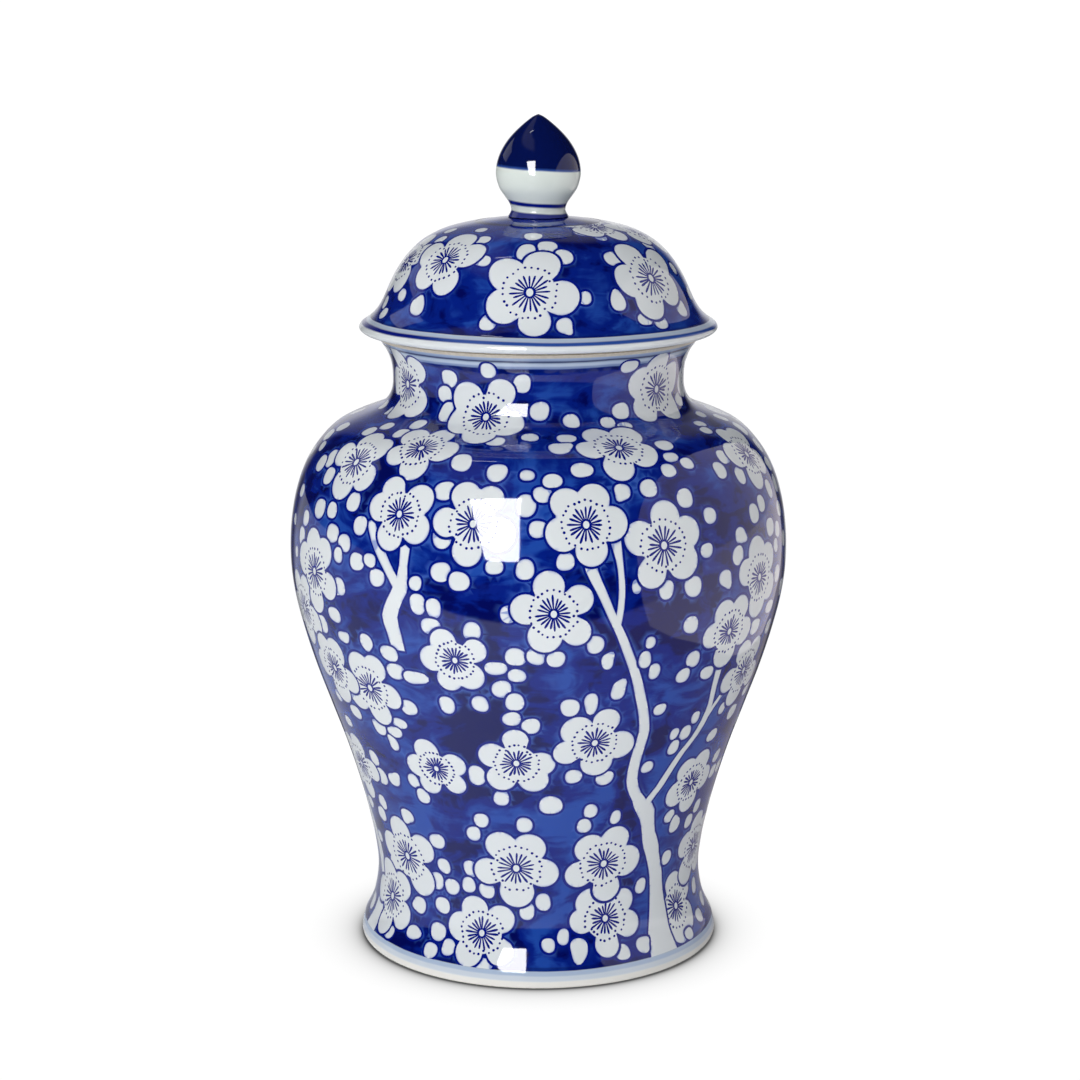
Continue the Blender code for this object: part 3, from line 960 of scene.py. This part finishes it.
def build_jar(frame, white, bare):
    cad = frame["nodes"]["jar_body"]
    side = painted_side(outline_of(cad)[0], JAR_FOOT_EDGE, 0.75 * MM)
    foot, rim = side.height[0], side.height[-1]

    def material_at(radius, height):
        on_side = foot < height < rim and is_on_side(side, radius, height)
        if on_side and height > side.height_at(JAR_LIP):
            return BARE
        if on_side or (height < foot and radius > JAR_FOOT_RADIUS):
            return PAINTED
        if height >= rim - JAR_RIM_BARE or height < JAR_FOOT_BARE:
            return BARE
        return PLAIN

    ground = jar_glaze(side)
    turned_piece(cad, "jar", "jar_glaze", [ground, white, bare], material_at)
    return side, ground


def build_lid(frame, white, bare):
    cad = frame["nodes"]["lid_dome"]
    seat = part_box("lid_dome")[0].z
    side = painted_side(outline_of(cad)[0], seat, 0.5 * MM)

    def material_at(radius, height):
        if height < seat + LID_SEAT_BARE:
            return BARE
        on_top = height > side.height[-1] - 0.05 * MM
        return PAINTED if on_top or is_on_side(side, radius, height) else PLAIN

    ground = lid_glaze(side)
    turned_piece(cad, "lid", "lid_glaze", [ground, white, bare], material_at)
    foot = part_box("lid_knob")[0].z
    turned_piece(frame["nodes"]["lid_knob"], "lid", "knob_glaze", [knob_glaze(foot)])
    turned_piece(frame["nodes"]["lid_flange"], "lid", "bare_porcelain", [bare])
    return side, ground


# ---- the studio ----

# The painted contact shadow on the table is darkest at this distance from the axis and fades out from it
FOOT_RADIUS = 78.4 * MM
OVEREXPOSED = 1.03
FLOOR_REACH = 6.0
CEILING_STRENGTH = 1.65

# The flat lights: what they show in, place, the point they face, size and power
LIGHTS = {
    "key": ("colours", (-0.60, -1.45, 0.45), (0.0, 0.0, 0.18), (0.7, 0.7), 11.2),
    "key_reflection": ("reflections", (-0.235, -0.73, 0.453), (-0.165, -0.06, -0.287), (0.255, 0.615), 10.8),
    "overhead_reflection": ("reflections", (-0.35, 0.05, 1.5), (0.0, 0.0, 0.3), (0.022, 0.17), 0.104),
    "right_card": ("reflections", (0.30, 0.0, 0.20), (0.0, 0.0, 0.20), (0.72, 0.62), 0.92),
    "left_card": ("reflections", (-0.75, 0.42, 0.72), (0.0, 0.0, 0.22), (0.50, 0.30), 0.28),
}

CAMERA_PLACE = (0.0007, -1.1358, 0.418)
CAMERA_TILT = math.radians(78.0)  # up from straight down
CAMERA_SENSOR = 36.0  # millimetres, as is the lens
CAMERA_LENS = 88.9


def softbox(name, shows_in, place, aim, size, power):
    """A flat light that faces a point. The camera doesn't see it, and it shows in colours or reflections."""
    light = bpy.data.lights.new(name, "AREA")
    light.shape = "RECTANGLE"
    light.size, light.size_y = size
    light.energy = power
    holder = placed(name, light)
    holder.location = place
    holder.rotation_euler = (Vector(aim) - Vector(place)).to_track_quat("-Z", "Y").to_euler()
    holder.visible_camera = False
    holder.visible_diffuse = shows_in == "colours"
    holder.visible_glossy = shows_in == "reflections"
    return light


def sky_fill():
    """Even light from all over the ceiling, which doesn't show in reflections."""
    light = bpy.data.lights.new("ceiling", "SUN")
    light.angle = math.radians(120.0)
    light.energy = CEILING_STRENGTH
    placed("ceiling", light).visible_glossy = False


def behind(tree, way):
    """How nearly a direction or a place, seen from above, is straight behind the jar: 1 where it is."""
    level = node(tree, "ShaderNodeVectorMath", {0: way, 1: (1.0, 1.0, 0.0)}, operation="MULTIPLY")
    level = node(tree, "ShaderNodeVectorMath", {0: level}, operation="NORMALIZE")
    return parts_of(tree, level)["Y"]


def painted_contact_shadow(tree, place):
    """A painted contact shadow: how bright the table looks to the camera, darkest at the foot, and white
    some thirty millimetres out from it.
    """
    reach = node(tree, "ShaderNodeVectorMath", {0: place}, operation="LENGTH").node.outputs["Value"]
    away = maths(tree, "MAXIMUM", maths(tree, "SUBTRACT", reach, FOOT_RADIUS), 0.0)
    tight = times(tree, maths(tree, "EXPONENT", maths(tree, "DIVIDE", away, -2.0 * MM)), 0.50)
    wide = times(tree, maths(tree, "EXPONENT", maths(tree, "DIVIDE", away, -9.0 * MM)), 0.43)
    return maths(tree, "SUBTRACT", OVEREXPOSED, maths(tree, "ADD", tight, wide))


def white_floor():
    """A matt table. The camera sees it overexposed, with only a painted contact shadow on it. In the glaze
    it shows painted light and shade: it ends a little in front of the jar, is brightest in a painted pool of
    light before the left of the jar, is darker to the right, and glows far behind it."""
    material, tree, place = new_material("studio_floor")
    across, away, _ = parts_of(tree, place)
    path = tree.nodes.new("ShaderNodeLightPath").outputs
    # Painted light and shade seen in the glaze: a painted pool of light before the left of the jar, painted
    # shade to the right, painted darkness past the table's front edge, and a dark band then a painted glow
    # far behind
    painted_light_pool = node(tree, "ShaderNodeVectorMath", {0: place, 1: (-0.18, -0.33, 0.0)}, operation="DISTANCE")
    painted_light_pool = rising(tree, painted_light_pool.node.outputs["Value"], 0.42, 0.05)
    lit = mixed(tree, rising(tree, across, -0.10, 0.22), (0.85, 0.87, 0.90, 1.0), (0.66, 0.60, 0.62, 1.0))
    lit = mixed(tree, painted_light_pool, lit, (1.30, 1.36, 1.42, 1.0))
    lit = mixed(tree, rising(tree, away, -0.47, -0.43), (0.02, 0.02, 0.02, 1.0), lit)
    back = behind(tree, place)
    lit = mixed(tree, rising(tree, back, 0.80, 0.88), lit, (0.12, 0.12, 0.14, 1.0))
    lit = mixed(tree, rising(tree, back, 0.90, 0.985), lit, (1.0, 1.0, 1.02, 1.0))
    colour = mixed(tree, path["Is Glossy Ray"], (1.10, 1.10, 1.10, 1.0), lit)
    shader = tree.nodes["Principled BSDF"]
    plug(tree, shader, {"Base Color": colour, "Roughness": 0.9, "Specular IOR Level": 0.0})
    # To the camera the table glows white, with the painted contact shadow round the foot
    white = node(tree, "ShaderNodeEmission", {"Strength": painted_contact_shadow(tree, place)})
    seen = node(tree, "ShaderNodeMixShader", {0: path["Is Camera Ray"], 1: shader.outputs[0], 2: white})
    plug(tree, tree.nodes["Material Output"], {"Surface": seen})
    reach = FLOOR_REACH
    corners = [(-reach, -reach, 0), (reach, -reach, 0), (reach, reach, 0), (-reach, reach, 0)]
    mesh_object("floor", corners, [(0, 1, 2, 3)], [material])


def studio_world():
    """White to the camera. The glaze sees a dim room, lighter behind the jar and high on the left."""
    world = bpy.data.worlds.new("studio")
    world.use_nodes = True
    tree = world.node_tree
    way = node(tree, "ShaderNodeTexCoord").node.outputs["Generated"]
    across, _, up = parts_of(tree, way)
    wall = times(tree, rising(tree, behind(tree, way), 0.90, 0.985), rising(tree, up, 0.86, 0.76))
    glow = mixed(tree, rising(tree, up, 0.10, 0.30), (0.80, 0.80, 0.83, 1.0), (0.26, 0.26, 0.29, 1.0))
    high = times(tree, rising(tree, up, 0.76, 0.84), rising(tree, across, -0.10, -0.25))
    high = times(tree, high, rising(tree, up, 0.97, 0.95))
    room = mixed(tree, wall, (0.015, 0.015, 0.02, 1.0), glow)
    room = mixed(tree, high, room, (0.27, 0.27, 0.30, 1.0))
    seen = tree.nodes.new("ShaderNodeLightPath").outputs["Is Camera Ray"]
    colour = mixed(tree, seen, room, (1.06, 1.06, 1.06, 1.0))
    plug(tree, tree.nodes["Background"], {"Color": colour})
    bpy.context.scene.world = world


def studio():
    white_floor()
    studio_world()
    sky_fill()
    lights = {name: softbox(name, *settings) for name, settings in LIGHTS.items()}
    lights["right_card"].shape = "ELLIPSE"
    lights["right_card"].color = (1.0, 0.92, 0.92)
    scene = bpy.context.scene
    scene.view_settings.view_transform = "Standard"
    scene.view_settings.look = "None"


def place_camera():
    camera = placed("camera", bpy.data.cameras.new("camera"))
    camera.data.sensor_width = CAMERA_SENSOR
    camera.data.lens = CAMERA_LENS
    camera.location = CAMERA_PLACE
    camera.rotation_euler = (CAMERA_TILT, 0.0, 0.0)
    bpy.context.scene.camera = camera


def main():
    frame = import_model()
    white = white_glaze()
    line = painted_line()
    bare = bare_porcelain()
    jar_side, jar_ground = build_jar(frame, white, bare)
    lid_side, lid_ground = build_lid(frame, white, bare)
    paint_jar(jar_side, (line, white, jar_ground))
    paint_lid(lid_side, (line, white, lid_ground))
    studio()
    place_camera()


main()
